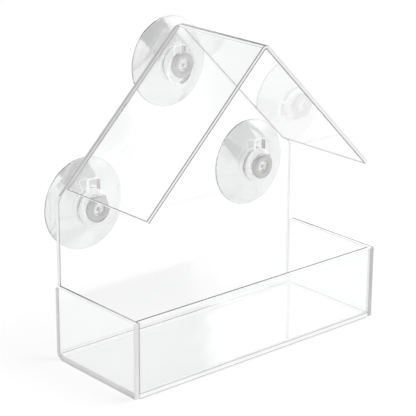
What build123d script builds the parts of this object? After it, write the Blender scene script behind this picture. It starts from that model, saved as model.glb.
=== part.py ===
from build123d import *
import os
from math import cos, radians, tan

# Window bird feeder of clear sheet: an open seed tray below a gabled roof, held to a pane by three cups.
# Origin at the middle of the tray's underside. Seen from the front, +X is right, +Y towards the pane, +Z up.

# Overall sizes, in millimetres
tray_width = 150.0
tray_depth = 60.0
tray_height = 36.5
ridge_height = 148.6
eave_span = 136.0
roof_pitch = 45.0

# Sheets and the rounds of their outlines and bends
sheet = 2.5
roof_sheet = 2.0
floor_bend_radius = 5.0
ridge_bend_radius = 3.0
gable_tip_radius = 5.0
shoulder_radius = 5.0
side_setback = 1.8
side_heel_radius = 4.0
side_top_radius = 1.5
side_toe_radius = 0.8

# Keyholes in the back: a round opening that lets a cup's head through, below a slot that holds its neck.
# The lower two hang from the shoulders of the outline, the upper one from the ridge.
keyhole_radius = 6.7
keyhole_spread = 102.8
lower_keyhole_drop = 6.34
upper_keyhole_drop = 22.9
slot_width = 6.0
slot_rise = 11.6
slot_corner_radius = 0.8

# Suction cup: sizes of one moulding, and where each one hangs in its keyhole
cup_radius = 22.0
cup_depth = 7.7
cup_lip = 0.8
cup_lip_land = 1.0
cup_web = 3.3
cup_dish_rise = 0.35
boss_radius = 8.5
boss_height = 1.9
boss_edge_radius = 0.6
neck_fit = 0.1
head_clearance = 0.35
head_thickness = 2.4
head_crown = 0.4
head_edge_radius = 0.8
cup_standoff = 0.3
lower_cup_drop = 1.8
upper_cup_rise = 2.8

# What cuts run past the faces that they cut
overrun = 1.0

# Planes and places that follow from those sizes
pane_side_y = tray_depth / 2
front_y = -tray_depth / 2
back_front_y = pane_side_y - sheet
inner_half_width = tray_width / 2 - sheet
pitch = radians(roof_pitch)
apex_z = ridge_height + ridge_bend_radius * (1 / cos(pitch) - 1)
shoulder_z = apex_z - inner_half_width * tan(pitch)
eave_x = eave_span / 2
eave_z = apex_z - eave_x * tan(pitch)
neck_radius = slot_width / 2 - neck_fit
head_radius = keyhole_radius - head_clearance
keyhole_x = keyhole_spread / 2
lower_keyhole_height = shoulder_z - lower_keyhole_drop
upper_keyhole_height = ridge_height - upper_keyhole_drop
keyholes = [(-keyhole_x, lower_keyhole_height), (keyhole_x, lower_keyhole_height), (0, upper_keyhole_height)]


def upright_plane(y):
    """Plane parallel to the pane at depth y, with its normal towards the front."""
    return Plane.XZ.offset(-y)


# Back and floor: one bent sheet, cut to the outline of a house and pierced by the keyholes
with BuildPart() as back_panel:
    with BuildSketch(Plane.YZ):
        with BuildLine():
            FilletPolyline(
                (front_y, 0), (pane_side_y, 0), (pane_side_y, apex_z), radius=floor_bend_radius
            )
            offset(amount=sheet, side=Side.LEFT)
        make_face()
    extrude(amount=inner_half_width, both=True)
    with BuildSketch(upright_plane(pane_side_y + overrun)) as house:
        with BuildLine():
            Polyline(
                (-inner_half_width, -overrun),
                (-inner_half_width, shoulder_z),
                (0, apex_z),
                (inner_half_width, shoulder_z),
                (inner_half_width, -overrun),
                close=True,
            )
        make_face()
        by_height = house.vertices().group_by(Axis.Y)
        fillet(by_height[-1], radius=gable_tip_radius)
        fillet(by_height[-2], radius=shoulder_radius)
    extrude(amount=tray_depth + 2 * overrun, mode=Mode.INTERSECT)
    with BuildSketch(upright_plane(pane_side_y + overrun)):
        with Locations(*keyholes):
            Circle(keyhole_radius)
            RectangleRounded(slot_width, slot_rise, slot_corner_radius, align=(Align.CENTER, Align.MIN))
    extrude(amount=sheet + 2 * overrun, mode=Mode.SUBTRACT)

# Roof: one sheet bent along the ridge, its back end on the back panel, its outside in line with the gable
with BuildPart() as roof:
    with BuildSketch(upright_plane(back_front_y)):
        with BuildLine():
            FilletPolyline((-eave_x, eave_z), (0, apex_z), (eave_x, eave_z), radius=ridge_bend_radius)
            offset(amount=roof_sheet, side=Side.RIGHT)
        make_face()
    extrude(amount=tray_depth - sheet)

# Front wall of the tray: it stands on the floor between the side walls
with BuildPart() as tray_front:
    with BuildSketch(upright_plane(front_y + sheet)):
        with Locations((0, sheet)):
            Rectangle(2 * inner_half_width, tray_height - sheet, align=(Align.CENTER, Align.MIN))
    extrude(amount=sheet)


def side_wall(inner_x, outward):
    """Side wall of the tray, from its inner face at inner_x outwards, with its corners rounded."""
    with BuildPart() as wall:
        with BuildSketch(Plane.YZ.offset(inner_x)) as outline:
            with Locations((front_y, 0)):
                Rectangle(tray_depth - side_setback, tray_height, align=(Align.MIN, Align.MIN))
            lower, upper = outline.vertices().group_by(Axis.Y)
            fillet(lower.sort_by(Axis.X)[-1], radius=side_heel_radius)
            fillet(upper.sort_by(Axis.X)[-1], radius=side_top_radius)
            fillet(upper.sort_by(Axis.X)[0], radius=side_toe_radius)
        extrude(amount=outward * sheet)
    return wall


tray_side_left = side_wall(-inner_half_width, -1)
tray_side_right = side_wall(inner_half_width, 1)


def suction_cup(x, z):
    """Suction cup on the axis through (x, z): head, neck, boss and dish turned about that axis.

    The section is drawn with r across from the axis and a along it, from the back panel's pane side
    towards the pane.
    """
    head_back = -(sheet + cup_standoff)
    head_face = head_back - head_thickness
    boss_foot = cup_standoff + boss_height
    rim_front = cup_depth - cup_lip
    dish_mid_r = (boss_radius + cup_radius) / 2
    dish_mid_a = (boss_foot + rim_front) / 2 - cup_dish_rise
    hollow_r = cup_radius - cup_lip_land
    hollow_a = cup_standoff + cup_web
    with BuildPart() as cup:
        with BuildSketch(Plane(origin=(x, pane_side_y, z), x_dir=(1, 0, 0), z_dir=(0, 0, 1))) as section:
            with BuildLine():
                Polyline(
                    (0, hollow_a),
                    (0, head_face),
                    (head_radius, head_face + head_crown),
                    (head_radius, head_back),
                    (neck_radius, head_back),
                    (neck_radius, cup_standoff),
                    (boss_radius, cup_standoff),
                    (boss_radius, boss_foot),
                )
                ThreePointArc((boss_radius, boss_foot), (dish_mid_r, dish_mid_a), (cup_radius, rim_front))
                Polyline((cup_radius, rim_front), (cup_radius, cup_depth), (hollow_r, cup_depth))
                TangentArc((0, hollow_a), (hollow_r, cup_depth), tangent=(1, 0))
            make_face()
            corners = section.vertices()
            head_corner = corners.sort_by_distance((head_radius, head_face + head_crown))[0]
            boss_corner = corners.sort_by_distance((boss_radius, cup_standoff))[0]
            fillet(head_corner, radius=head_edge_radius)
            fillet(boss_corner, radius=boss_edge_radius)
        revolve(axis=Axis((x, pane_side_y, z), (0, 1, 0)))
    return cup


lower_cup_z = lower_keyhole_height - lower_cup_drop
suction_cup_left = suction_cup(-keyhole_x, lower_cup_z)
suction_cup_right = suction_cup(keyhole_x, lower_cup_z)
suction_cup_top = suction_cup(0, upper_keyhole_height + upper_cup_rise)

# Write each piece to its own file
pieces = {
    "back_panel": back_panel,
    "roof": roof,
    "tray_front": tray_front,
    "tray_side_left": tray_side_left,
    "tray_side_right": tray_side_right,
    "suction_cup_left": suction_cup_left,
    "suction_cup_right": suction_cup_right,
    "suction_cup_top": suction_cup_top,
}
os.makedirs("parts", exist_ok=True)
for name, piece in pieces.items():
    piece.part.label = name
    export_step(piece.part, f"parts/{name}.step")
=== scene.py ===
"""Window bird feeder of clear sheet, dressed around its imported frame.

Five laser-cut sheets with polished, softly broken edges, two of them bent warm, and three clear suction cups
hung in keyholes. The object's sizes are the maker's millimetres, which MM turns into metres, and the stage
around it is in metres.
"""
import math

import bpy
import numpy as np
from mathutils import Matrix, Vector
from mathutils.geometry import delaunay_2d_cdt


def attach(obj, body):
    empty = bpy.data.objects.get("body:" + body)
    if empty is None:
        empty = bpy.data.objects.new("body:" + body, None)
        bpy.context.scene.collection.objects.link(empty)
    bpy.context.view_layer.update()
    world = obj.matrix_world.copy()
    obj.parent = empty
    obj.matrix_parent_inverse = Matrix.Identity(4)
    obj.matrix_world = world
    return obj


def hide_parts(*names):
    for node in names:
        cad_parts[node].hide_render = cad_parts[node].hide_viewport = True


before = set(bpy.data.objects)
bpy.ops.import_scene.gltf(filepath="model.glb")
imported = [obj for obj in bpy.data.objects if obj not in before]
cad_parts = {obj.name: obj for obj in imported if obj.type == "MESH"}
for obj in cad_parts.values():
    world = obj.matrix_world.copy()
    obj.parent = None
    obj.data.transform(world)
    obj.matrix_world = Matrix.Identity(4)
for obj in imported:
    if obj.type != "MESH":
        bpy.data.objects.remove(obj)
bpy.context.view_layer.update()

MM = 0.001

# Sizes of the maker's drawing
TRAY_WIDTH, TRAY_DEPTH, TRAY_HEIGHT = 150.0, 60.0, 36.5
RIDGE_HEIGHT = 148.6
EAVE_SPAN = 136.0
SHEET, ROOF_SHEET = 2.5, 2.0
FLOOR_BEND, RIDGE_BEND = 5.0, 3.0
GABLE_TIP, SHOULDER = 5.0, 5.0
SIDE_SETBACK, SIDE_HEEL, SIDE_TOP, SIDE_TOE = 1.8, 4.0, 1.5, 0.8
KEYHOLE_R, KEYHOLE_SPREAD = 6.7, 102.8
LOWER_KEYHOLE_DROP, UPPER_KEYHOLE_DROP = 6.34, 22.9
SLOT_WIDTH, SLOT_RISE, SLOT_CORNER = 6.0, 11.6, 0.8
KEYHOLE_NOSE = 0.5

# Cut edges: how far they are broken, the width of the strip beside an arris, the least round of a corner, and
# the gap that keeps a welded sheet's faces off its neighbour's
ARRIS = 0.32
EDGE_STRIP, ROOF_STRIP = 0.75, 0.25
CORNER = 0.6
WELD = 0.02

# Bands of finish across a cut edge, and how finely the rounds are divided
BANDS = 5
ARRIS_STEPS, FLOOR_STEPS, RIDGE_STEPS = 4, 40, 44
CORNER_POINTS, HOUSE_CORNER_POINTS = 7, 9
SLOT_CORNER_POINTS, KEYHOLE_POINTS = 6, 57
CUP_ROUND_POINTS, SKIRT_POINTS, HOLLOW_POINTS, CUP_TURNS = 5, 25, 40, 160

# Places that follow from the sizes. The two bends are measured along the middle of the sheet.
PANE_Y = TRAY_DEPTH / 2
FRONT_Y = -TRAY_DEPTH / 2
BACK_FRONT_Y = PANE_Y - SHEET
HALF_INNER = TRAY_WIDTH / 2 - SHEET
APEX_Z = RIDGE_HEIGHT + RIDGE_BEND * (math.sqrt(2) - 1)
SHOULDER_Z = APEX_Z - HALF_INNER
FLOOR_MIDDLE_R = FLOOR_BEND - SHEET / 2
FLOOR_ARC = FLOOR_MIDDLE_R * math.pi / 2
RIDGE_MIDDLE_R = RIDGE_BEND - ROOF_SHEET / 2
RIDGE_HALF_ARC = RIDGE_MIDDLE_R * math.pi / 4
LOWER_KEYHOLE_Z = SHOULDER_Z - LOWER_KEYHOLE_DROP
KEYHOLES = (
    (-KEYHOLE_SPREAD / 2, LOWER_KEYHOLE_Z),
    (KEYHOLE_SPREAD / 2, LOWER_KEYHOLE_Z),
    (0.0, RIDGE_HEIGHT - UPPER_KEYHOLE_DROP),
)

# Suction cup: sizes of one moulding, and the room that its neck and head have in the keyhole. Along its axis,
# a is measured from the back panel's pane side towards the pane.
CUP_R, CUP_DEPTH, CUP_LIP, CUP_LIP_LAND = 22.0, 7.7, 0.8, 1.0
CUP_WEB, CUP_DISH_RISE = 3.3, 0.35
BOSS_R, BOSS_HEIGHT, BOSS_EDGE = 8.5, 1.9, 0.6
NECK_FIT, HEAD_PLAY = 0.1, 0.35
NECK_R = SLOT_WIDTH / 2 - NECK_FIT
HEAD_R = KEYHOLE_R - HEAD_PLAY
HEAD_THICK, HEAD_EDGE = 2.4, 0.5
FACE_FLAT_R, FACE_FALL = 5.2, 0.3
PIN_R, PIN_SINK = 0.9, 0.25
RECESS_R, RECESS_DEPTH = 2.9, 0.8
STANDOFF = 0.3
HEAD_BACK = -(SHEET + STANDOFF)

# Where the finishes of a cup change along a, and the small step that carries a limit past an edge
MATT_END_A, RECESS_END_A, BOSS_START_A = HEAD_BACK - 0.3, HEAD_BACK - 1.0, STANDOFF - 0.45
PAST_EDGE = 0.1

# How far the cups hang below or above the middles of their keyholes, and so where their axes are
LOWER_CUP_DROP, UPPER_CUP_RISE = 1.8, 2.8
CUPS = {
    "suction_cup_left": (KEYHOLES[0][0], KEYHOLES[0][1] - LOWER_CUP_DROP),
    "suction_cup_right": (KEYHOLES[1][0], KEYHOLES[1][1] - LOWER_CUP_DROP),
    "suction_cup_top": (KEYHOLES[2][0], KEYHOLES[2][1] + UPPER_CUP_RISE),
}

# What counts as the same place, and the small step that carries a normal through a bend
SAME = 1e-6
NORMAL_STEP = 1e-3


# Outlines in the flat sheet

def turn_corners(corners, radii, count=CORNER_POINTS):
    """Closed outline run with the sheet on its left: at each corner an arc of its radius, whose points are
    centre + radius * (cos, sin) and whose outward normals are (cos, sin). Returns points and normals."""
    corners, radii = np.array(corners, float), np.array(radii, float)
    ahead = np.roll(corners, -1, 0) - corners
    ahead /= np.linalg.norm(ahead, axis=1)[:, None]
    behind = np.roll(ahead, 1, 0)
    turn = np.arctan2(behind[:, 0] * ahead[:, 1] - behind[:, 1] * ahead[:, 0], (behind * ahead).sum(1))
    start = np.arctan2(-behind[:, 0], behind[:, 1])
    middle = start + turn / 2
    centre = corners - (radii / np.cos(turn / 2))[:, None] * np.stack([np.cos(middle), np.sin(middle)], 1)
    angle = start[:, None] + turn[:, None] * np.linspace(0, 1, count)
    normal = np.stack([np.cos(angle), np.sin(angle)], 2)
    points = centre[:, None] + radii[:, None, None] * normal
    return points.reshape(-1, 2), normal.reshape(-1, 2)


def arc(centre, radius, start, end, count, hollow=False):
    """Arc about centre from start to end, in degrees. A hollow arc's outward normals point to its centre."""
    angle = np.radians(np.linspace(start, end, count))
    ray = np.stack([np.cos(angle), np.sin(angle)], 1)
    return np.array(centre) + radius * ray, -ray if hollow else ray


def keyhole(x, z):
    """Keyhole outline about (x, z), run with the sheet on its left: a slot over a round hole, with the two
    noses where they meet rounded by circles that touch both."""
    half = SLOT_WIDTH / 2
    nose_x = half + KEYHOLE_NOSE
    nose_z = math.sqrt((KEYHOLE_R + KEYHOLE_NOSE) ** 2 - nose_x**2)
    lean = math.degrees(math.atan2(nose_z, nose_x))
    top = SLOT_RISE - SLOT_CORNER
    side = half - SLOT_CORNER
    runs = [
        arc((-side, top), SLOT_CORNER, 180, 90, SLOT_CORNER_POINTS, hollow=True),
        arc((side, top), SLOT_CORNER, 90, 0, SLOT_CORNER_POINTS, hollow=True),
        arc((nose_x, nose_z), KEYHOLE_NOSE, 180, 180 + lean, SLOT_CORNER_POINTS),
        arc((0, 0), KEYHOLE_R, lean, -180 - lean, KEYHOLE_POINTS, hollow=True),
        arc((-nose_x, nose_z), KEYHOLE_NOSE, -lean, 0, SLOT_CORNER_POINTS),
    ]
    points, normals = [np.concatenate(part) for part in zip(*runs)]
    return points + (x, z), normals


def between(rows, places):
    """Points of a run of (x, y) rows at places between them."""
    number = np.arange(len(rows))
    return np.stack([np.interp(places, number, rows[:, 0]), np.interp(places, number, rows[:, 1])], 1)


def cut_at(outline, axis, levels):
    """Adds a point to an outline wherever it crosses one of the levels of that coordinate."""
    points, normals = outline
    closed = np.concatenate([points, points[:1]])
    closed_normals = np.concatenate([normals, normals[:1]])
    here, there = closed[:-1, axis, None], closed[1:, axis, None]
    with np.errstate(divide="ignore", invalid="ignore"):
        share = (levels[None] - here) / (there - here)
    crossing = (share > SAME) & (share < 1 - SAME)
    crossings = (np.arange(len(points))[:, None] + share)[crossing]
    places = np.unique(np.concatenate([np.arange(len(closed)), crossings]))[:-1]
    normal = between(closed_normals, places)
    return between(closed, places), normal / np.linalg.norm(normal, axis=1)[:, None]


# How a flat sheet lies in space: a goes across it, b along it and d out of it, from its middle

def upright(y):
    """Flat sheet parallel to the pane, its middle at depth y: across is x, along is z, out is the room."""
    def lay(a, b, d):
        return np.stack([a, y - d, b], -1)
    return lay


def sideways(x, hand):
    """Flat side wall, its middle at x: across is y, along is z, out is away from the tray."""
    def lay(a, b, d):
        return np.stack([x + hand * d, a, b], -1)
    return lay


def back_and_floor(a, b, d):
    """Bent sheet: b climbs the back above the bend and runs forward in the floor below it. In the bend the
    point lies on a circle of radius R - d, turned by b / R, where R is the bend's middle radius."""
    turn = np.clip(-b / FLOOR_MIDDLE_R, 0, math.pi / 2)
    up = np.maximum(b, 0)
    forward = np.maximum(-b - FLOOR_ARC, 0)
    y = PANE_Y - FLOOR_BEND + (FLOOR_MIDDLE_R - d) * np.cos(turn) - forward
    z = FLOOR_BEND - (FLOOR_MIDDLE_R - d) * np.sin(turn) + up
    return np.stack([a, y, z], -1)


def gabled(a, b, d):
    """Bent sheet: a runs down both slopes from the ridge, b is depth. In the bend the point lies on a
    circle of radius R + d, turned by a / R, where R is the bend's middle radius. Beyond it the slopes are
    straight."""
    turn = np.clip(a / RIDGE_MIDDLE_R, -math.pi / 4, math.pi / 4)
    down = np.maximum(np.abs(a) - RIDGE_HALF_ARC, 0)
    x = (RIDGE_MIDDLE_R + d) * np.sin(turn) + np.sign(a) * down * math.cos(math.pi / 4)
    z = RIDGE_HEIGHT - RIDGE_BEND + (RIDGE_MIDDLE_R + d) * np.cos(turn) - down * math.sin(math.pi / 4)
    return np.stack([x, b, z], -1)


# Pieces made of a closed surface

def new_piece(name, corners, faces, finish, finishes):
    """Smooth object from its corners in millimetres, its faces, and the number of each face's finish."""
    mesh = bpy.data.meshes.new(name)
    mesh.from_pydata((corners * MM).tolist(), [], faces)
    for material in finishes:
        mesh.materials.append(material)
    mesh.polygons.foreach_set("material_index", finish.astype(np.int32))
    mesh.polygons.foreach_set("use_smooth", np.ones(len(faces), bool))
    mesh.update()
    mesh.validate()
    piece = bpy.data.objects.new(name, mesh)
    bpy.context.scene.collection.objects.link(piece)
    return piece


def keep_flat_shape(mesh, flat, normals):
    """Gives a sheet's mesh its own normals, and its flat coordinates as a UV map that patterns follow."""
    corner = np.zeros(len(mesh.loops), np.int32)
    mesh.loops.foreach_get("vertex_index", corner)
    uv = mesh.uv_layers.new(name="flat_sheet")
    uv.data.foreach_set("uv", (flat * MM)[corner][:, :2].astype(np.float32).ravel())
    mesh.normals_split_custom_set_from_vertices(normals.astype(np.float32).tolist())


def edge_numbers(points, normals, rules):
    """For every stretch of an outline the number of the last rule that holds there, from 1, or 0 for none.

    A rule is (heading, spread, axis, low, high, edge): it holds where the outward normal is within spread of
    heading, in degrees, and the stretch lies between low and high along that axis of the flat sheet.
    """
    middle = (points + np.roll(points, -1, 0)) / 2
    outward = normals + np.roll(normals, -1, 0)
    heading = np.degrees(np.arctan2(outward[:, 1], outward[:, 0]))
    numbers = np.zeros(len(points), int)
    for number, (aim, spread, axis, low, high, edge) in enumerate(rules, 1):
        off = np.abs((heading - aim + 180) % 360 - 180)
        numbers[(off <= spread) & (middle[:, axis] > low) & (middle[:, axis] < high)] = number
    return numbers


def edge_profile(thickness, strip):
    """Rounded edge of a sheet, from the outer face over a quarter round of the arris, down the cut edge and
    over the second quarter round: inset = arris * (1 - sin t), depth = half thickness - arris * (1 - cos t).
    Returns inset, depth, the outward and the rising part of the normal, and the band of each step."""
    t = np.linspace(0, math.pi / 2, ARRIS_STEPS + 1)
    inset = ARRIS * (1 - np.sin(t))
    depth = thickness / 2 - ARRIS * (1 - np.cos(t))
    line = thickness / 2 - ARRIS - strip
    return (
        np.concatenate([inset, [0, 0], inset[::-1]]),
        np.concatenate([depth, [line, -line], -depth[::-1]]),
        np.concatenate([np.sin(t), [1, 1], np.sin(t)[::-1]]),
        np.concatenate([np.cos(t), [0, 0], -np.cos(t)[::-1]]),
        np.repeat(np.arange(BANDS), [ARRIS_STEPS, 1, 1, 1, ARRIS_STEPS]),
    )


def with_third(grid, third):
    """Rows of three coordinates: a grid of flat points, and for each of its columns the third one."""
    third = np.broadcast_to(third[None, :, None], (*grid.shape[:2], 1))
    return np.concatenate([grid, third], 2).reshape(-1, 3)


def fill_between(seen, starts, ties):
    """Triangles of the flat sheet between its outlines, each of which runs from one of starts to the next.

    They keep the outlines and the ties as edges. A triangle stays if it lies inside an odd number of
    outlines: from its middle, a ray along the first axis crosses an odd number of their edges. Returns the
    triangles and their middles.
    """
    loops = []
    for start, end in zip(starts[:-1], starts[1:]):
        loop = np.arange(start, end)
        loops.append(np.stack([loop, np.roll(loop, -1)], 1))
    loops = np.concatenate(loops)
    edges = np.concatenate([loops, ties])
    inside_only, touching = 1, 1e-7
    _, _, faces, origins, _, _ = delaunay_2d_cdt(seen.tolist(), edges.tolist(), [], inside_only, touching)
    origin = np.array([given[0] if given else -1 for given in origins])
    triangles = origin[np.array(faces)]
    middles = seen[triangles].mean(1)
    here, there = seen[loops[:, 0]], seen[loops[:, 1]]
    height = middles[:, None, 1]
    crossed = (here[None, :, 1] > height) != (there[None, :, 1] > height)
    rise = np.where(there[:, 1] == here[:, 1], 1, there[:, 1] - here[:, 1])
    reach = here[None, :, 0] + (height - here[None, :, 1]) / rise[None] * (there - here)[None, :, 0]
    inside = (crossed & (reach > middles[:, None, 0])).sum(1) % 2 == 1
    kept = inside & (triangles >= 0).all(1)
    return triangles[kept], middles[kept]


def turned_outwards(faces, place, normals):
    """Faces, all turned round if they look against their corners' normals."""
    start = place[faces[:, 0]]
    looks = np.cross(place[faces[:, 1]] - start, place[faces[:, 2]] - start)
    return faces if (looks * normals[faces[:, 0]]).sum() >= 0 else faces[:, ::-1]


def sheet_piece(name, cuts, thickness, lay, levels=None, creases=(), strip=EDGE_STRIP):
    """Closed sheet: a rounded edge profile carried along each outline, and the flat faces between.

    cuts lists each outline with its usual edge and the rules for other edges along it. levels is an axis and
    the places along it where a bent sheet gets a line across. creases colours stretches of the outer face,
    each from one place to another along that axis. lay(a, b, d) bends the whole sheet into place.
    """
    outlines = [outline for outline, usual, rules in cuts]
    if levels is not None:
        outlines[0] = cut_at(outlines[0], *levels)
    inset, depth, outward, lift, band = edge_profile(thickness, strip)
    rows = len(inset)
    finishes = [clear]
    flat, direction, quads, quad_finish, base = [], [], [], [], 0
    for (points, normals), (_, usual, rules) in zip(outlines, cuts):
        count = len(points)
        flat.append(with_third(points[:, None] - inset[None, :, None] * normals[:, None], depth))
        direction.append(with_third(outward[None, :, None] * normals[:, None], lift))
        i, k = np.meshgrid(np.arange(count), np.arange(rows - 1), indexing="ij")
        j = (i + 1) % count
        corners = [i * rows + k, i * rows + k + 1, j * rows + k + 1, j * rows + k]
        quads.append(np.stack(corners, -1).reshape(-1, 4) + base)
        base += count * rows
        edges = [usual] + [rule[-1] for rule in rules]
        for finish in sum(edges, ()):
            if finish not in finishes:
                finishes.append(finish)
        lookup = np.array([[finishes.index(finish) for finish in edge] for edge in edges])
        number = np.repeat(edge_numbers(points, normals, rules), rows - 1)
        quad_finish.append(lookup[number, np.tile(band, count)])
    flat, direction, quads = np.concatenate(flat), np.concatenate(direction), np.concatenate(quads)

    # Flat faces between the inset outlines, with an edge across the bent sheet at each level
    ring = np.arange(0, base, rows)
    starts = np.cumsum([0] + [len(points) for points, normals in outlines])
    ties = np.zeros((0, 2), int)
    if levels is not None:
        along = flat[ring[: starts[1]], levels[0]]
        on_level = [np.flatnonzero(np.abs(along - value) < SAME) for value in levels[1]]
        ties = np.array([(found[0], found[-1]) for found in on_level if len(found) >= 2])
    triangles, middles = fill_between(flat[ring, :2], starts, ties)
    front = ring[triangles]
    rear = front[:, ::-1] + rows - 1

    # Bend it into place, with the normals carried by the same bend
    place = lay(*flat.T)
    normals = lay(*(flat + NORMAL_STEP * direction).T) - lay(*(flat - NORMAL_STEP * direction).T)
    normals /= np.linalg.norm(normals, axis=1)[:, None]
    faces = [turned_outwards(part, place, normals).tolist() for part in (quads, front, rear)]
    finish = np.concatenate([*quad_finish, np.zeros(len(front) + len(rear), int)])
    for material, low, high in creases:
        along = middles[:, levels[0]]
        creased = np.flatnonzero((along > low) & (along < high))
        finish[len(quads) + creased] = len(finishes)
        finishes.append(material)
    piece = new_piece(name, place, sum(faces, []), finish, finishes)
    keep_flat_shape(piece.data, flat, normals)
    return piece


# Suction cups

def soften(corners):
    """Open profile through corners of (r, a, radius), each inner one turned with an arc of its radius, which
    takes up nearly half of a side at most."""
    corners = np.array(corners, float)
    points, radii = corners[:, :2], corners[:, 2]
    nearly_straight, nearly_half = math.radians(89.5), 0.49
    runs = [points[:1]]
    for before, here, after, radius in zip(points[:-2], points[1:-1], points[2:], radii[1:-1]):
        u, v = before - here, after - here
        lu, lv = np.linalg.norm(u), np.linalg.norm(v)
        u, v = u / lu, v / lv
        half = math.acos(max(-1.0, min(1.0, float(u @ v)))) / 2
        if radius <= 0 or half > nearly_straight:
            runs.append(here[None])
            continue
        reach = min(radius / math.tan(half), nearly_half * lu, nearly_half * lv)
        radius = reach * math.tan(half)
        way = (u + v) / np.linalg.norm(u + v)
        centre = here + way * radius / math.sin(half)
        first, last = here + u * reach - centre, here + v * reach - centre
        start = math.atan2(first[1], first[0])
        sweep = math.atan2(first[0] * last[1] - first[1] * last[0], first @ last)
        angle = start + np.linspace(0, 1, CUP_ROUND_POINTS) * sweep
        runs.append(centre + radius * np.stack([np.cos(angle), np.sin(angle)], 1))
    runs.append(points[-1:])
    return np.concatenate(runs)


def cup_profile():
    """Half section of a cup in (r, a), from the middle of its face to the middle of its hollow.

    In turn: the head, with a gate pin in a round recess, the neck, the boss, the skirt, which is a parabola,
    a = foot (1 - s)^2 + 2 bow s (1 - s) + rim s^2, its beaded rim, and the hollow, which is one too,
    a = top + (depth - top) (r / R)^2.
    """
    face = HEAD_BACK - HEAD_THICK
    foot = STANDOFF + BOSS_HEIGHT
    rim = CUP_DEPTH - CUP_LIP
    top = STANDOFF + CUP_WEB
    s = np.linspace(0, 1, SKIRT_POINTS)[1:-1]
    middle = (foot + rim) / 2 - CUP_DISH_RISE
    bow = 2 * middle - (foot + rim) / 2
    skirt_r = BOSS_R + (CUP_R - BOSS_R) * s
    skirt_a = foot * (1 - s) ** 2 + bow * 2 * s * (1 - s) + rim * s**2
    hollow_r = CUP_R - CUP_LIP_LAND
    inner_r = hollow_r * np.linspace(1, 0, HOLLOW_POINTS)
    inner_a = top + (CUP_DEPTH - top) * (inner_r / hollow_r) ** 2
    outer = soften([
        (0, face + PIN_SINK, 0),
        (PIN_R, face + PIN_SINK, 0.12),
        (PIN_R + 0.2, face + RECESS_DEPTH + 0.05, 0.12),
        (RECESS_R, face + RECESS_DEPTH, 0.15),
        (RECESS_R + 0.3, face + 0.08, 0.12),
        (FACE_FLAT_R, face + 0.05, 0.8),
        (HEAD_R, face + FACE_FALL, HEAD_EDGE),
        (HEAD_R, HEAD_BACK, 0.45),
        (NECK_R + 0.5, HEAD_BACK, 0.2),
        (NECK_R, HEAD_BACK + 0.5, 0.2),
        (NECK_R, STANDOFF - 0.4, 0.2),
        (NECK_R + 0.4, STANDOFF, 0.2),
        (BOSS_R, STANDOFF, BOSS_EDGE),
        (BOSS_R, foot - 0.25, 0),
    ])
    bead = soften([
        (skirt_r[-1], skirt_a[-1], 0),
        (CUP_R, rim - 0.05, 0.3),
        (CUP_R, CUP_DEPTH, 0.22),
        (inner_r[0], CUP_DEPTH, 0),
    ])
    skirt = np.stack([skirt_r, skirt_a], 1)
    inner = np.stack([inner_r, inner_a], 1)
    return np.concatenate([outer, skirt, bead[1:], inner[1:]])


def cup_piece(name, x, z):
    """Cup turned about its axis through (x, z): point = (x + r cos u, pane side + a, z + r sin u)."""
    profile = cup_profile()
    body = profile[1:-1]
    count = len(body)
    u = np.linspace(0, 2 * math.pi, CUP_TURNS, endpoint=False)[:, None]
    r, a = body.T
    grid = np.stack([x + r * np.cos(u), PANE_Y + a + 0 * u, z + r * np.sin(u)], -1).reshape(-1, 3)
    poles = np.array([[x, PANE_Y + end, z] for end in profile[[0, -1], 1]])
    i, k = np.meshgrid(np.arange(CUP_TURNS), np.arange(count - 1), indexing="ij")
    j = (i + 1) % CUP_TURNS
    corners = [i * count + k, i * count + k + 1, j * count + k + 1, j * count + k]
    quads = np.stack(corners, -1).reshape(-1, 4)
    i, j = i[:, 0], j[:, 0]
    front_pole, rear_pole = np.full(CUP_TURNS, len(grid)), np.full(CUP_TURNS, len(grid) + 1)
    front_cap = np.stack([front_pole, i * count, j * count], 1)
    rear_cap = np.stack([rear_pole, (j + 1) * count - 1, (i + 1) * count - 1], 1)

    # Finish of each step of the profile. The head gets a darker, less clear copy of the vinyl, painted shade,
    # and the boss and the head's recess a paler, clearer one, painted light. What is neither on the head nor
    # on the boss is soft vinyl.
    finishes = [vinyl, head, painted_light_vinyl]
    soft, painted_shade_copy, painted_light_copy = range(len(finishes))
    r, a = body[:-1].T
    on_head = a < MATT_END_A
    in_recess = (a < RECESS_END_A) & (r > PIN_R + PAST_EDGE) & (r < RECESS_R + PAST_EDGE)
    on_boss = (a > BOSS_START_A) & (np.maximum.accumulate(r) < BOSS_R + PAST_EDGE)
    finish = np.where(on_boss | in_recess, painted_light_copy, np.where(on_head, painted_shade_copy, soft))
    finish = np.concatenate([np.tile(finish, CUP_TURNS), np.repeat([painted_shade_copy, soft], CUP_TURNS)])
    faces = quads.tolist() + front_cap.tolist() + rear_cap.tolist()
    return new_piece(name, np.concatenate([grid, poles]), faces, finish, finishes)


# Finishes

def add_node(tree, kind, inputs, **settings):
    """Adds a node. inputs gives a socket, by name or number, a value or another node's output."""
    made = tree.nodes.new("ShaderNode" + kind)
    for name, value in settings.items():
        setattr(made, name, value)
    for socket, value in inputs.items():
        if isinstance(value, bpy.types.NodeSocket):
            tree.links.new(value, made.inputs[socket])
        else:
            made.inputs[socket].default_value = value
    return made


def figure(tree, operation, *values):
    """Sum, product or other figure of its values."""
    return add_node(tree, "Math", dict(enumerate(values)), operation=operation).outputs[0]


def ramp(tree, value, low, high, start=0.0, end=1.0):
    """Runs smoothly from start to end as the value runs from low to high."""
    return add_node(
        tree, "MapRange",
        {"Value": value, "From Min": low, "From Max": high, "To Min": start, "To Max": end},
        interpolation_type="SMOOTHSTEP",
    ).outputs["Result"]


def noise(tree, where, scale, detail=2.0, distortion=0.0):
    """Noise between 0 and 1."""
    return add_node(
        tree, "TexNoise", {"Vector": where, "Scale": scale, "Detail": detail, "Distortion": distortion},
    ).outputs["Fac"]


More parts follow.
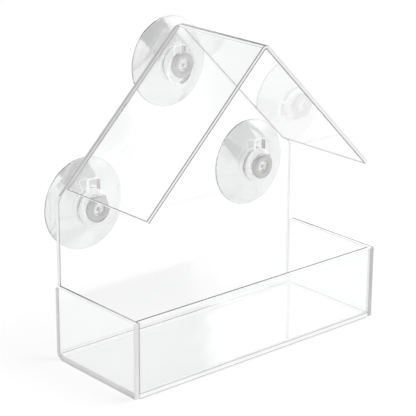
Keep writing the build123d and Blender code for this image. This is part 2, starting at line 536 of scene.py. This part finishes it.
def blend(tree, share, first, second):
    """Colour between two, by its share of the second."""
    return add_node(tree, "Mix", {0: share, 6: (*first, 1), 7: (*second, 1)}, data_type="RGBA").outputs[2]


def object_place(tree):
    """Place on the object, in metres."""
    return add_node(tree, "TexCoord", {}).outputs["Object"]


def new_group(name, inputs, outputs):
    """Node group with a place, named numbers and named results. Returns it, its inputs and its results."""
    group = bpy.data.node_groups.new(name, "ShaderNodeTree")
    group.interface.new_socket("Place", in_out="INPUT", socket_type="NodeSocketVector")
    for label, value in inputs.items():
        socket = group.interface.new_socket(label, in_out="INPUT", socket_type="NodeSocketFloat")
        socket.default_value = value
    for label in outputs:
        group.interface.new_socket(label, in_out="OUTPUT", socket_type="NodeSocketFloat")
    return group, group.nodes.new("NodeGroupInput").outputs, group.nodes.new("NodeGroupOutput").inputs


def handling_group():
    """Handled surface: broad wiped smears, hairline scratches along one slanting way, and a slow change
    of tone, all from noise."""
    group, given, result = new_group(
        "handling_marks", {"Smear scale": 30.0, "Hairline scale": 900.0, "Hairline amount": 0.5},
        ("Haze", "Tone", "Height"),
    )
    smear = noise(group, given["Place"], given["Smear scale"], 3.0, 0.6)
    slanted = add_node(
        group, "Mapping", {"Vector": given["Place"], "Rotation": (0.5, 0.3, 0.9), "Scale": (1, 0.05, 1)},
    ).outputs[0]
    hairline = ramp(group, noise(group, slanted, given["Hairline scale"], 1.0), 0.66, 0.72)
    hairline = figure(group, "MULTIPLY", hairline, given["Hairline amount"])
    haze = figure(group, "MAXIMUM", ramp(group, smear, 0.5, 0.78, 0.0, 0.6), hairline)
    tone = noise(group, given["Place"], figure(group, "MULTIPLY", given["Smear scale"], 0.4), 1.0)
    height = figure(group, "SUBTRACT", smear, figure(group, "MULTIPLY", hairline, 0.1))
    for label, value in (("Haze", haze), ("Tone", ramp(group, tone, 0.3, 0.7)), ("Height", height)):
        group.links.new(value, result[label])
    return group


def tool_group():
    """Marks of a tool across a cut edge: fine ridges from quick noise along the edge, and rubbed
    stretches from slow noise."""
    group, given, result = new_group(
        "tool_marks", {"Ridge scale": 1400.0, "Stretch scale": 90.0}, ("Rub", "Height"),
    )
    ridges = noise(group, given["Place"], given["Ridge scale"], 1.0)
    stretches = noise(group, given["Place"], given["Stretch scale"], 2.0)
    rub = figure(group, "MULTIPLY_ADD", stretches, 0.65, figure(group, "MULTIPLY", ridges, 0.35))
    group.links.new(ramp(group, rub, 0.4, 0.62), result["Rub"])
    group.links.new(ridges, result["Height"])
    return group


handling_marks = handling_group()
tool_marks = tool_group()
ACRYLIC_IOR, VINYL_IOR, VINYL_COAT_IOR = 1.49, 1.5, 2.6
TOOL_RIDGE = 0.02 * MM


def new_material(name):
    """Material with one Principled shader at its output."""
    material = bpy.data.materials.new(name)
    material.use_nodes = True
    tree = material.node_tree
    tree.nodes.clear()
    out = tree.nodes.new("ShaderNodeOutputMaterial")
    shader = tree.nodes.new("ShaderNodeBsdfPrincipled")
    tree.links.new(shader.outputs["BSDF"], out.inputs["Surface"])
    return material, tree, shader, out


def marks(tree, group, where, inputs):
    """One of the node groups, put into a material with the material's own values."""
    return add_node(tree, "Group", {"Place": where, **inputs}, node_tree=group).outputs


def bump(tree, shader, height, distance):
    """Feeds a height, in metres at 1, to the shader's normal."""
    raised = add_node(tree, "Bump", {"Height": height, "Distance": distance, "Strength": 1.0})
    tree.links.new(raised.outputs[0], shader.inputs["Normal"])


def darker(colour, share):
    """Colour dimmed to its share."""
    return tuple(share * part for part in colour)


def clear_material(name, tint, roughness, ior, shade, wear, worn, cloud, wave):
    """Clear material with handling marks. Lamps shine through it, dimmed by shade at each face, as bent
    light would, and soft light passes it too. worn is the roughness of a full smear, cloud how far
    the tint changes, and wave the height of the surface's waviness."""
    material, tree, shader, out = new_material(name)
    shader.inputs["Transmission Weight"].default_value = 1.0
    shader.inputs["IOR"].default_value = ior
    wiped = marks(tree, handling_marks, object_place(tree), wear)
    tree.links.new(blend(tree, wiped["Tone"], tint, darker(tint, cloud)), shader.inputs["Base Color"])
    tree.links.new(ramp(tree, wiped["Haze"], 0.0, 1.0, roughness, worn), shader.inputs["Roughness"])
    bump(tree, shader, wiped["Height"], wave)
    path = add_node(tree, "LightPath", {}).outputs
    lamp_light = add_node(tree, "BsdfTransparent", {"Color": (shade, shade, shade, 1)}).outputs[0]
    soft_light = add_node(tree, "BsdfTransparent", {"Color": (0.98, 0.98, 0.98, 1)}).outputs[0]
    surface = shader.outputs[0]
    for ray, light in (("Is Shadow Ray", lamp_light), ("Is Diffuse Ray", soft_light)):
        surface = add_node(tree, "MixShader", {0: path[ray], 1: surface, 2: light}).outputs[0]
    tree.links.new(surface, out.inputs["Surface"])
    return material


def vinyl_material(name, tint, roughness, worn, wave, wear, clearness=1.0, shade=0.85, cloud=0.97,
                   coat=None):
    """Soft vinyl. clearness is the share of light that passes it, and coat the roughness of its skin, if it
    has a glossy one."""
    material = clear_material(name, tint, roughness, VINYL_IOR, shade, wear, worn, cloud, wave)
    sockets = material.node_tree.nodes["Principled BSDF"].inputs
    sockets["Transmission Weight"].default_value = clearness
    if coat is not None:
        sockets["Coat Weight"].default_value = 1.0
        sockets["Coat IOR"].default_value = VINYL_COAT_IOR
        sockets["Coat Roughness"].default_value = coat
    return material


def edge_material(name, colour, roughness, rubbed=0.85, glow=0.0, fade=None):
    """Edge of the sheet with the marks that the tool left: it scatters light and is not seen through. Its
    colour
    is often painted light and shade: dark lines and pale strips that stand in for what a clear edge shows by
    refraction. Rubbed stretches are darker by their share. glow is painted light, an emission that stands in
    for the light that clear sheet pipes to its edges. fade = (colour, axis, from, to) turns the edge to
    another colour along that axis, in millimetres."""
    material, tree, shader, _ = new_material(name)
    shader.inputs["IOR"].default_value = ACRYLIC_IOR
    flat = add_node(tree, "UVMap", {}, uv_map="flat_sheet").outputs[0]
    worked = marks(tree, tool_marks, flat, {})
    base = blend(tree, worked["Rub"], colour, darker(colour, rubbed))
    if fade:
        far_colour, axis, start, end = fade
        along = add_node(tree, "SeparateXYZ", {0: object_place(tree)}).outputs[axis]
        share = ramp(tree, along, start * MM, end * MM)
        far = blend(tree, worked["Rub"], far_colour, darker(far_colour, rubbed))
        base = add_node(tree, "Mix", {0: share, 6: base, 7: far}, data_type="RGBA").outputs[2]
    tree.links.new(base, shader.inputs["Base Color"])
    least, most = 0.7 * roughness, 1.4 * roughness
    tree.links.new(ramp(tree, worked["Rub"], 0.0, 1.0, least, most), shader.inputs["Roughness"])
    bump(tree, shader, worked["Height"], TOOL_RIDGE)
    if glow:
        shader.inputs["Emission Color"].default_value = (1, 1, 1, 1)
        shader.inputs["Emission Strength"].default_value = glow
    return material


sheet_wear = {"Smear scale": 28.0, "Hairline scale": 900.0, "Hairline amount": 0.3}
cup_wear = {"Smear scale": 90.0, "Hairline scale": 1500.0, "Hairline amount": 0.2}
head_wear = {"Smear scale": 200.0, "Hairline scale": 2000.0, "Hairline amount": 0.3}
clear = clear_material(
    "clear_sheet", (0.994, 0.997, 0.997), roughness=0.0, ior=ACRYLIC_IOR,
    shade=0.92, wear=sheet_wear, worn=0.02, cloud=0.994, wave=0.06 * MM,
)
# Painted light: the glow of the polished, pale sawn and welded edges stands in for light that clear sheet
# pipes to its edges
polished = edge_material("polished_edge", (0.84, 0.845, 0.85), 0.1, rubbed=0.97, glow=0.16)
sawn = edge_material("sawn_edge", (0.6, 0.6, 0.595), 0.35, rubbed=0.94)
pale_sawn = edge_material("pale_sawn_edge", (0.76, 0.76, 0.755), 0.3, rubbed=0.93, glow=0.1)
dull = edge_material("welded_edge", (0.69, 0.685, 0.68), 0.35, rubbed=0.93, glow=0.1)
# Painted shade: the dark, grey, thin and faint arris lines stand in for the dark lines that a clear edge
# shows by refraction. The darkest is painted paler towards the front.
painted_dark_line = edge_material("painted_dark_arris", (0.06, 0.055, 0.05), 0.3, fade=((0.38, 0.37, 0.36), "Y", 12, -12))
painted_grey_line = edge_material("painted_grey_arris", (0.10, 0.095, 0.095), 0.3)
painted_thin_line = edge_material("painted_thin_arris", (0.36, 0.35, 0.35), 0.3)
# Painted highlight: bead is a pale strip with a strong glow, standing in for the bright line that a clear
# edge or a bend shows.
bead = edge_material("painted_highlight_strip", (0.66, 0.67, 0.69), 0.2, rubbed=0.97, glow=0.38)
painted_faint_line = edge_material("painted_faint_arris", (0.68, 0.67, 0.67), 0.3)
shaded = edge_material("shaded_wall", (0.5, 0.47, 0.45), 0.3)
# Painted shade and light in the floor bend: a grey line beside a pale glowing band, both fading to near white
# towards the right.
painted_bend_line = edge_material("painted_bend_line", (0.36, 0.35, 0.35), 0.3, fade=((0.95, 0.95, 0.95), "X", 6, 26))
bend_shade = edge_material(
    "bend_shade", (0.8, 0.8, 0.8), 0.3, rubbed=0.97, glow=0.14, fade=((0.97, 0.97, 0.97), "X", 6, 26),
)
vinyl = vinyl_material(
    "clear_vinyl", (0.82, 0.825, 0.825), roughness=0.12, worn=0.25, wave=0.04 * MM, wear=cup_wear, coat=0.07,
)
# Painted light: a paler, clearer copy of the vinyl, for the boss and the recess in the head
painted_light_vinyl = vinyl_material(
    "pale_vinyl_painted_light", (0.95, 0.95, 0.95), roughness=0.2, worn=0.3, wave=0.04 * MM, wear=cup_wear, clearness=0.8,
)
# Painted shade: a darker, much less clear copy of the vinyl for the head, whose skin is also rougher
head = vinyl_material(
    "dark_vinyl_painted_shade", (0.56, 0.56, 0.55), roughness=0.22, worn=0.4, wave=0.03 * MM, wear=head_wear,
    clearness=0.2, shade=0.8, cloud=0.93, coat=0.15,
)

# Finishes across an edge: outer arris, outer side of the cut, its middle, inner side of the cut, inner arris.
# Their lines and glowing strips are painted shade and painted highlights.
BRIGHT = (polished,) * BANDS
DULL = (dull,) * BANDS
PLAIN = (painted_faint_line, polished, polished, polished, painted_faint_line)
LINED = (painted_faint_line,) * BANDS
BAND = (polished, sawn, sawn, sawn, polished)
FRAMED = (painted_thin_line, polished, polished, painted_grey_line, painted_grey_line)
EAVES = (painted_thin_line, polished, polished, polished, painted_thin_line)
FOOT = (painted_faint_line, polished, polished, polished, painted_grey_line)
OUTER_LINE = (painted_dark_line, painted_dark_line, polished, polished, polished)
INNER_LINE = (polished, polished, polished, painted_dark_line, painted_dark_line)
SHADED = (painted_faint_line, shaded, polished, shaded, painted_faint_line)
HIGHLIT = (bead,) * BANDS
ONE_LINE = (painted_thin_line, bead, bead, bead, bead)
JOINT = (painted_grey_line, painted_faint_line, bead, bead, bead)
SAWN = (sawn,) * BANDS
PALE_END = (pale_sawn, pale_sawn, pale_sawn, pale_sawn, sawn)
RIGHT_FRAME = (painted_faint_line, polished, polished, polished, painted_thin_line)
FRONT_RIM = (polished, polished, polished, painted_grey_line, painted_grey_line)
NARROW_FOOT = (bead, bead, painted_faint_line, dull, dull)

# Words of the rules for an outline's stretches: the way that a stretch faces and how far off that it may be,
# in degrees, the axis along which a place is meant, and places before and past any sheet, in millimetres
RIGHT, UP, LEFT, DOWN = 0, 90, 180, -90
STRAIGHT, HALF_CORNER, SLOPING = 30, 45, 80
ACROSS, ALONG = 0, 1
BEGINNING, END = -200.0, 200.0


# The eight pieces

def stand_in(piece, body, node):
    """Lets a piece ride with its body and stand in for its plain shape."""
    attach(piece, body)
    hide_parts(node)


def rectangle(left, low, right, high, radii):
    """Outline of a sheet, its corners rounded in turn, from the lower left one."""
    return turn_corners([(left, low), (right, low), (right, high), (left, high)], radii)


# Back and floor: one bent sheet, whose places along it are heights over the bend, with a painted line and a
# painted pale band in the bend
floor_front = -(PANE_Y - FLOOR_BEND - FRONT_Y) - FLOOR_ARC
back_side = HALF_INNER - WELD
back_shoulder = SHOULDER_Z - FLOOR_BEND
back_tray_top = TRAY_HEIGHT - FLOOR_BEND
back_eaves = APEX_Z - EAVE_SPAN / 2 - FLOOR_BEND
bend_shade_start, bend_line_start, bend_line_end = -0.2 * FLOOR_ARC, -0.52 * FLOOR_ARC, -0.64 * FLOOR_ARC
slot_shade_heading, slot_shade_spread = 150, 52
house = turn_corners(
    [
        (-back_side, floor_front),
        (back_side, floor_front),
        (back_side, back_shoulder),
        (0, APEX_Z - FLOOR_BEND - WELD),
        (-back_side, back_shoulder),
    ],
    [CORNER, CORNER, SHOULDER, GABLE_TIP, SHOULDER],
    HOUSE_CORNER_POINTS,
)
house_rules = [
    (RIGHT, STRAIGHT, ALONG, -FLOOR_ARC, back_tray_top, HIGHLIT),
    (RIGHT, STRAIGHT, ALONG, BEGINNING, -FLOOR_ARC, JOINT),
    (LEFT, STRAIGHT, ALONG, BEGINNING, back_tray_top, DULL),
    (RIGHT, STRAIGHT, ALONG, back_tray_top, END, ONE_LINE),
    (UP, SLOPING, ALONG, back_eaves, END, BAND),
    (DOWN, HALF_CORNER, ALONG, BEGINNING, END, FOOT),
]
slot_shade = (slot_shade_heading, slot_shade_spread, ALONG, BEGINNING, END, SHADED)
keyhole_cuts = [(keyhole(x, z - FLOOR_BEND), HIGHLIT, [slot_shade]) for x, z in KEYHOLES]
back_panel = sheet_piece(
    "back_and_floor_sheet",
    [(house, PLAIN, house_rules), *keyhole_cuts],
    SHEET,
    back_and_floor,
    levels=(ALONG, np.linspace(-FLOOR_ARC, 0, FLOOR_STEPS + 1)),
    creases=[(bend_shade, bend_line_start, bend_shade_start), (painted_bend_line, bend_line_end, bend_line_start)],
)
stand_in(back_panel, "feeder", "back_panel")

# Roof: one sheet bent along the ridge, with a painted highlight line in the bend
right_slope_start = 1.0
ridge_line_start, ridge_line_end = -1.55, -0.95
slope = (EAVE_SPAN / 2 - RIDGE_BEND * math.sin(math.pi / 4)) * math.sqrt(2) + RIDGE_HALF_ARC
roof_rules = [
    (RIGHT, HALF_CORNER, ALONG, BEGINNING, END, EAVES),
    (LEFT, HALF_CORNER, ALONG, BEGINNING, END, EAVES),
    (UP, HALF_CORNER, ALONG, BEGINNING, END, LINED),
    (DOWN, HALF_CORNER, ACROSS, right_slope_start, END, RIGHT_FRAME),
]
roof = sheet_piece(
    "roof_sheet",
    [(rectangle(-slope, FRONT_Y, slope, BACK_FRONT_Y - WELD, [CORNER] * 4), FRAMED, roof_rules)],
    ROOF_SHEET,
    gabled,
    levels=(ACROSS, np.linspace(-RIDGE_HALF_ARC, RIDGE_HALF_ARC, RIDGE_STEPS + 1)),
    creases=[(bead, ridge_line_start, ridge_line_end)],
    strip=ROOF_STRIP,
)
stand_in(roof, "feeder", "roof")

# Front wall of the tray, on the floor between the side walls
front_outline = rectangle(-back_side, SHEET + WELD, back_side, TRAY_HEIGHT, [CORNER] * 4)
front_rules = [
    (UP, HALF_CORNER, ALONG, BEGINNING, END, FRONT_RIM),
    (DOWN, HALF_CORNER, ALONG, BEGINNING, END, BRIGHT),
    (RIGHT, HALF_CORNER, ALONG, BEGINNING, END, BRIGHT),
]
tray_front = sheet_piece(
    "tray_front_sheet", [(front_outline, PLAIN, front_rules)], SHEET, upright(FRONT_Y + SHEET / 2),
)
stand_in(tray_front, "feeder", "tray_front")

# Side walls: the usual edge of each, its top, its front end and its foot
side_outline = rectangle(
    FRONT_Y, 0, PANE_Y - SIDE_SETBACK, TRAY_HEIGHT, [CORNER, SIDE_HEEL, SIDE_TOP, SIDE_TOE],
)
for hand, node, usual, top, front_end, foot in (
    (-1, "tray_side_left", DULL, INNER_LINE, PALE_END, NARROW_FOOT),
    (1, "tray_side_right", HIGHLIT, OUTER_LINE, SAWN, HIGHLIT),
):
    side_rules = [
        (UP, HALF_CORNER, ALONG, BEGINNING, END, top),
        (LEFT, HALF_CORNER, ALONG, BEGINNING, END, front_end),
        (DOWN, HALF_CORNER, ALONG, BEGINNING, END, foot),
    ]
    lay = sideways(hand * (TRAY_WIDTH - SHEET) / 2, hand)
    side = sheet_piece(node + "_sheet", [(side_outline, usual, side_rules)], SHEET, lay)
    stand_in(side, "feeder", node)

for node, (x, z) in CUPS.items():
    stand_in(cup_piece(node + "_moulding", x, z), node, node)


# Floor and cards around the object, in metres

def staged(name, corners, material):
    """Flat stage piece through four corners."""
    mesh = bpy.data.meshes.new(name)
    mesh.from_pydata(corners, [], [(0, 1, 2, 3)])
    mesh.materials.append(material)
    made = bpy.data.objects.new(name, mesh)
    bpy.context.scene.collection.objects.link(made)
    return made


def stage_material(name, grey, glow=0.0):
    """Dull grey stage material that gives off light of its own."""
    material, tree, shader, out = new_material(name)
    shader.inputs["Base Color"].default_value = (grey, grey, grey, 1)
    shader.inputs["Specular IOR Level"].default_value = 0.0
    shader.inputs["Emission Color"].default_value = (1, 1, 1, 1)
    shader.inputs["Emission Strength"].default_value = glow
    return material, tree, shader, out


def mirrored_rays(tree, path):
    """1 for a ray that was mirrored at least once, and 0 before that."""
    return figure(tree, "MINIMUM", path["Glossy Depth"], 1.0)


def mirrored_card(name, corners, material, tree, shader, out, shown):
    """Card that only mirrored rays meet, by the share shown of them."""
    unseen = add_node(tree, "BsdfTransparent", {}).outputs[0]
    mixed = add_node(tree, "MixShader", {0: shown, 1: unseen, 2: shader.outputs[0]}).outputs[0]
    tree.links.new(mixed, out.inputs["Surface"])
    card = staged(name, corners, material)
    card.visible_camera = card.visible_diffuse = card.visible_shadow = False


FLOOR_REACH, FLOOR_FRONT, FLOOR_Z = 6.0, -0.2, -0.0004
FLOOR_GREY, FLOOR_ROUGHNESS, FLOOR_GLOW = 0.46, 0.9, 0.582


def pale_floor():
    """Dull floor that runs on behind the object. Its glow lifts it to the background's white."""
    pale, _, shader, _ = stage_material("pale_floor", FLOOR_GREY, FLOOR_GLOW)
    shader.inputs["Roughness"].default_value = FLOOR_ROUGHNESS
    corners = [
        (-FLOOR_REACH, FLOOR_FRONT, FLOOR_Z),
        (FLOOR_REACH, FLOOR_FRONT, FLOOR_Z),
        (FLOOR_REACH, FLOOR_REACH, FLOOR_Z),
        (-FLOOR_REACH, FLOOR_REACH, FLOOR_Z),
    ]
    staged("floor", corners, pale)


DOORWAY_Y = -0.9
DOORWAY = ((0.275, -0.283), (1.21, -0.023), (0.4, 1.0), (-0.25, 1.0))
DOORWAY_RIGHT, DOORWAY_FOOT, DOORWAY_FOOT_SPAN = 0.4, 0.9, (0.03, 0.25)


def doorway_card():
    """Dark doorway in front of the object, which the cups mirror. It grows paler to the right and at its
    foot."""
    doorway, tree, shader, out = stage_material("doorway", 0.0)
    way = add_node(tree, "TexCoord", {}).outputs["Generated"]
    across, _, upward = add_node(tree, "SeparateXYZ", {0: way}).outputs
    fade = figure(tree, "MULTIPLY", across, DOORWAY_RIGHT)
    foot = ramp(tree, upward, *DOORWAY_FOOT_SPAN, DOORWAY_FOOT, 0.0)
    tree.links.new(figure(tree, "MAXIMUM", fade, foot), shader.inputs["Emission Strength"])
    path = add_node(tree, "LightPath", {}).outputs
    corners = [(x, DOORWAY_Y, z) for x, z in DOORWAY]
    mirrored_card("doorway", corners, doorway, tree, shader, out, mirrored_rays(tree, path))


SHADE_LEFT, SHADE_FRONT, SHADE_BACK, SHADE_Z = -0.0725, -0.0275, 0.0275, -0.0002
SHADE_LINE_FRONT, SHADE_LINE_BACK = 0.0543, 0.0097
SHADE_SOFTNESS, SHADE_MARGIN = 0.005, 0.006
SHADE_FADE_LENGTH, SHADE_FAR_SHARE, SHADE_FACES = 0.05, 0.4, (4.4, 5.6)


def tray_shade_card():
    """Shade under the tray, which the back panel mirrors. It lies on the left of a slanting line, is darkest
    at the front, and isn't shown to rays that have passed many faces, as in the cups' skirts."""
    shade, tree, shader, out = stage_material("tray_shade", 0.0)
    x, y, _ = add_node(tree, "SeparateXYZ", {0: object_place(tree)}).outputs
    slant = (SHADE_LINE_FRONT - SHADE_LINE_BACK) / (SHADE_BACK - SHADE_FRONT)
    aside = figure(tree, "MULTIPLY_ADD", y, slant, x)
    middle = (SHADE_LINE_BACK + SHADE_LINE_FRONT) / 2
    left_of_line = ramp(tree, aside, middle - SHADE_SOFTNESS, middle + SHADE_SOFTNESS, 1.0, 0.0)
    near_front = ramp(tree, y, SHADE_FRONT, SHADE_FRONT + SHADE_FADE_LENGTH, 1.0, SHADE_FAR_SHARE)
    dark = figure(tree, "MULTIPLY", left_of_line, near_front)
    tree.links.new(figure(tree, "SUBTRACT", 1.0, dark), shader.inputs["Emission Strength"])
    path = add_node(tree, "LightPath", {}).outputs
    few_faces = ramp(tree, path["Transmission Depth"], *SHADE_FACES, 1.0, 0.0)
    shown = figure(tree, "MULTIPLY", mirrored_rays(tree, path), few_faces)
    corners = [
        (SHADE_LEFT, SHADE_FRONT, SHADE_Z),
        (SHADE_LINE_FRONT + SHADE_MARGIN, SHADE_FRONT, SHADE_Z),
        (SHADE_LINE_BACK + SHADE_MARGIN, SHADE_BACK, SHADE_Z),
        (SHADE_LEFT, SHADE_BACK, SHADE_Z),
    ]
    mirrored_card("tray_shade", corners, shade, tree, shader, out, shown)


# Light. Bearings are in degrees from the right, and heights are the z of a direction. What the room gains or
# loses is on top of a plain white of 1.
PLAIN_LIGHT = 0.64
BAND_HEIGHTS, BAND_GAIN = ((0.0, 0.2), (0.55, 0.7)), 0.5
CEILING_HEIGHT, CEILING_LOSS = (0.64, 0.72), 0.7
WALL_BEARINGS, WALL_FOOT, WALL_LOSS = ((48.0, 49.3), (69.0, 81.0)), (0.02, 0.18), 0.8
FRONT_LOSS, MIRRORED_TWICE = 1.5, (1.2, 1.8)
SCREEN_BEARINGS = ((95.0, 100.0), (110.0, 112.3))
LOW_SCREEN_HEIGHTS, LOW_SCREEN_LOSS = ((0.3, 0.5), (0.588, 0.606)), 1.1
HIGH_SCREEN_HEIGHT, HIGH_SCREEN_LOSS = (0.62, 0.65), 0.7


def hump(tree, value, rise, fall, level=1.0):
    """Rises to level over one stretch of the value, and falls to 0 over another."""
    return figure(tree, "MULTIPLY", ramp(tree, value, *rise), ramp(tree, value, *fall, level, 0.0))


def mirrored_room(tree, path):
    """What the white room gains where it is mirrored: a bright band, less a dark ceiling, a grey wall far
    behind on the left, its dark front, which shows only where it is mirrored twice, and a soft screen."""
    way = add_node(tree, "TexCoord", {}).outputs["Generated"]
    x, y, z = add_node(tree, "SeparateXYZ", {0: way}).outputs
    bearing = figure(tree, "ARCTAN2", y, x)
    facing = figure(tree, "ARCTAN2", figure(tree, "MULTIPLY", y, -1.0), x)
    above_foot = ramp(tree, z, *WALL_FOOT)
    band = hump(tree, z, *BAND_HEIGHTS)
    ceiling = ramp(tree, z, *CEILING_HEIGHT)
    wall = figure(tree, "MULTIPLY", hump(tree, bearing, *np.radians(WALL_BEARINGS)), above_foot)
    front = figure(tree, "MULTIPLY", ramp(tree, facing, *np.radians(WALL_BEARINGS[0])), above_foot)
    front = figure(tree, "MULTIPLY", front, ramp(tree, path["Glossy Depth"], *MIRRORED_TWICE))
    low_screen = hump(tree, z, *LOW_SCREEN_HEIGHTS, LOW_SCREEN_LOSS)
    high_screen = ramp(tree, z, *HIGH_SCREEN_HEIGHT, 0.0, HIGH_SCREEN_LOSS)
    screen = figure(tree, "ADD", low_screen, high_screen)
    screen = figure(tree, "MULTIPLY", hump(tree, bearing, *np.radians(SCREEN_BEARINGS)), screen)
    gain = figure(tree, "MULTIPLY_ADD", band, BAND_GAIN, figure(tree, "MULTIPLY", wall, -WALL_LOSS))
    gain = figure(tree, "MULTIPLY_ADD", ceiling, -CEILING_LOSS, gain)
    gain = figure(tree, "MULTIPLY_ADD", front, -FRONT_LOSS, gain)
    return figure(tree, "SUBTRACT", gain, screen)


def studio_world():
    """Plain light for the surfaces, and a white room for the rays that look at it or mirror it."""
    world = bpy.data.worlds.new("studio")
    bpy.context.scene.world = world
    world.use_nodes = True
    tree = world.node_tree
    tree.nodes.clear()
    path = add_node(tree, "LightPath", {}).outputs
    level = figure(tree, "MULTIPLY_ADD", mirrored_room(tree, path), mirrored_rays(tree, path), 1.0)
    looked_at = figure(tree, "MAXIMUM", path["Is Camera Ray"], path["Is Glossy Ray"])
    looked_at = figure(tree, "MAXIMUM", looked_at, path["Is Transmission Ray"])
    plain_light = add_node(tree, "Background", {"Color": (1, 1, 1, 1), "Strength": PLAIN_LIGHT}).outputs[0]
    seen_room = add_node(tree, "Background", {"Color": (1, 1, 1, 1), "Strength": level}).outputs[0]
    sky = add_node(tree, "MixShader", {0: looked_at, 1: plain_light, 2: seen_room}).outputs[0]
    add_node(tree, "OutputWorld", {"Surface": sky})


LAMP_PLACE, LAMP_SPREAD, LAMP_STRENGTH = (0.35, -0.25, 0.82), 35.0, 1.1


def skylight():
    """Broad soft lamp from the upper right, in front of the object."""
    lamp_data = bpy.data.lights.new("skylight", "SUN")
    lamp_data.angle = math.radians(LAMP_SPREAD)
    lamp_data.energy = LAMP_STRENGTH
    lamp = bpy.data.objects.new("skylight", lamp_data)
    lamp.location = LAMP_PLACE
    lamp.rotation_euler = (-Vector(LAMP_PLACE)).to_track_quat("-Z", "Y").to_euler()
    bpy.context.scene.collection.objects.link(lamp)


# Camera fitted to the photograph's edges: it looks at TARGET from DISTANCE, both in millimetres
AZIMUTH, ELEVATION, ROLL = math.radians(-41.205), math.radians(18.928), math.radians(0.4146)
DISTANCE, TARGET = 753.67, Vector((-7.068, 0.0, 66.769))
FOCAL_PIXELS, FRAME_PIXELS, SENSOR = 1619.34, 416, 36.0


def fitted_camera():
    """Camera whose axes are the unit vectors to its right, up and back, turned by its roll."""
    level = math.cos(ELEVATION)
    back = Vector((math.sin(AZIMUTH) * level, -math.cos(AZIMUTH) * level, math.sin(ELEVATION)))
    right = Vector((math.cos(AZIMUTH), math.sin(AZIMUTH), 0))
    up = back.cross(right)
    right, up = right * math.cos(ROLL) + up * math.sin(ROLL), up * math.cos(ROLL) - right * math.sin(ROLL)
    camera_data = bpy.data.cameras.new("camera")
    camera_data.sensor_width = SENSOR
    camera_data.lens = FOCAL_PIXELS * SENSOR / FRAME_PIXELS
    camera_data.clip_start, camera_data.clip_end = 0.01, 50
    camera = bpy.data.objects.new("camera", camera_data)
    camera.matrix_world = Matrix((right, up, back)).transposed().to_4x4()
    camera.location = (TARGET + back * DISTANCE) * MM
    bpy.context.scene.collection.objects.link(camera)
    bpy.context.scene.camera = camera


pale_floor()
studio_world()
skylight()
doorway_card()
tray_shade_card()
fitted_camera()
bpy.context.scene.view_settings.view_transform = "Standard"
